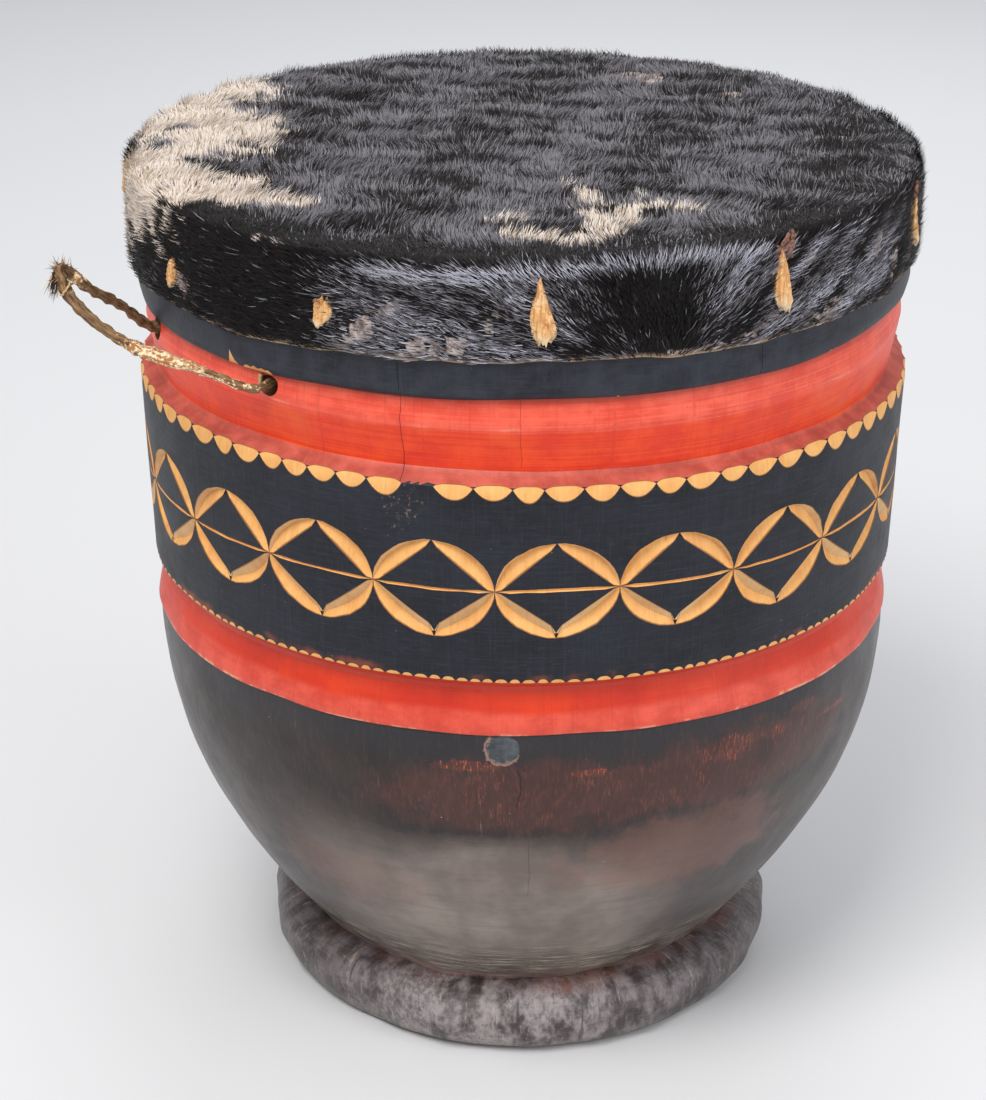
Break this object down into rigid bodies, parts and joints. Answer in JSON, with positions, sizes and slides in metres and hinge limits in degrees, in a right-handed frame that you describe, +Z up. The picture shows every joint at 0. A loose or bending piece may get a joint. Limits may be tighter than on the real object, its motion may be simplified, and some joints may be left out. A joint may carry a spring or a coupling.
{
  "type": "footed log drum",
  "caption": "Carved one-piece log drum with a footed bowl, chip-carved band, furred cowhide head held by driven wooden pegs, and a swinging rawhide carrying loop.",
  "frame": {"origin": "on the floor under the drum's axis, at the centre of the foot", "axes": "+Z up the drum's axis towards the head; -Y is the front; the carrying loop stands out between -X and -Y"},
  "size_m": [0.4256, 0.4061, 0.458],
  "materials": {
    "painted_log": "hand-painted satin black and red over carved hardwood, chip carving left raw",
    "cowhide": "black cowhide with its hair left on, white patches",
    "raw_wood": "split, unpainted",
    "rawhide": "twisted thong, dried hard",
    "twine": "thin plant-fibre twine"
  },
  "bodies": {
    "drum": {"shell": "painted_log", "drumhead": "cowhide", "peg_01": "raw_wood", "peg_02": "raw_wood", "peg_03": "raw_wood", "peg_04": "raw_wood", "peg_05": "raw_wood", "peg_06": "raw_wood", "peg_07": "raw_wood", "peg_08": "raw_wood", "peg_09": "raw_wood", "peg_10": "raw_wood", "peg_11": "raw_wood", "peg_12": "raw_wood", "loop_knot_front": "rawhide", "loop_knot_rear": "rawhide"},
    "carrying_loop": {"loop_thong": "rawhide", "loop_whipping": "twine"}
  },
  "joints": [
    {"name": "loop_swing", "type": "hinge", "parent": "drum", "child": "carrying_loop", "pos_m": [-0.15091, -0.11106, 0.383], "axis": [-0.5927, 0.8054, 0], "range_deg": [-55, 20]}
  ]
}
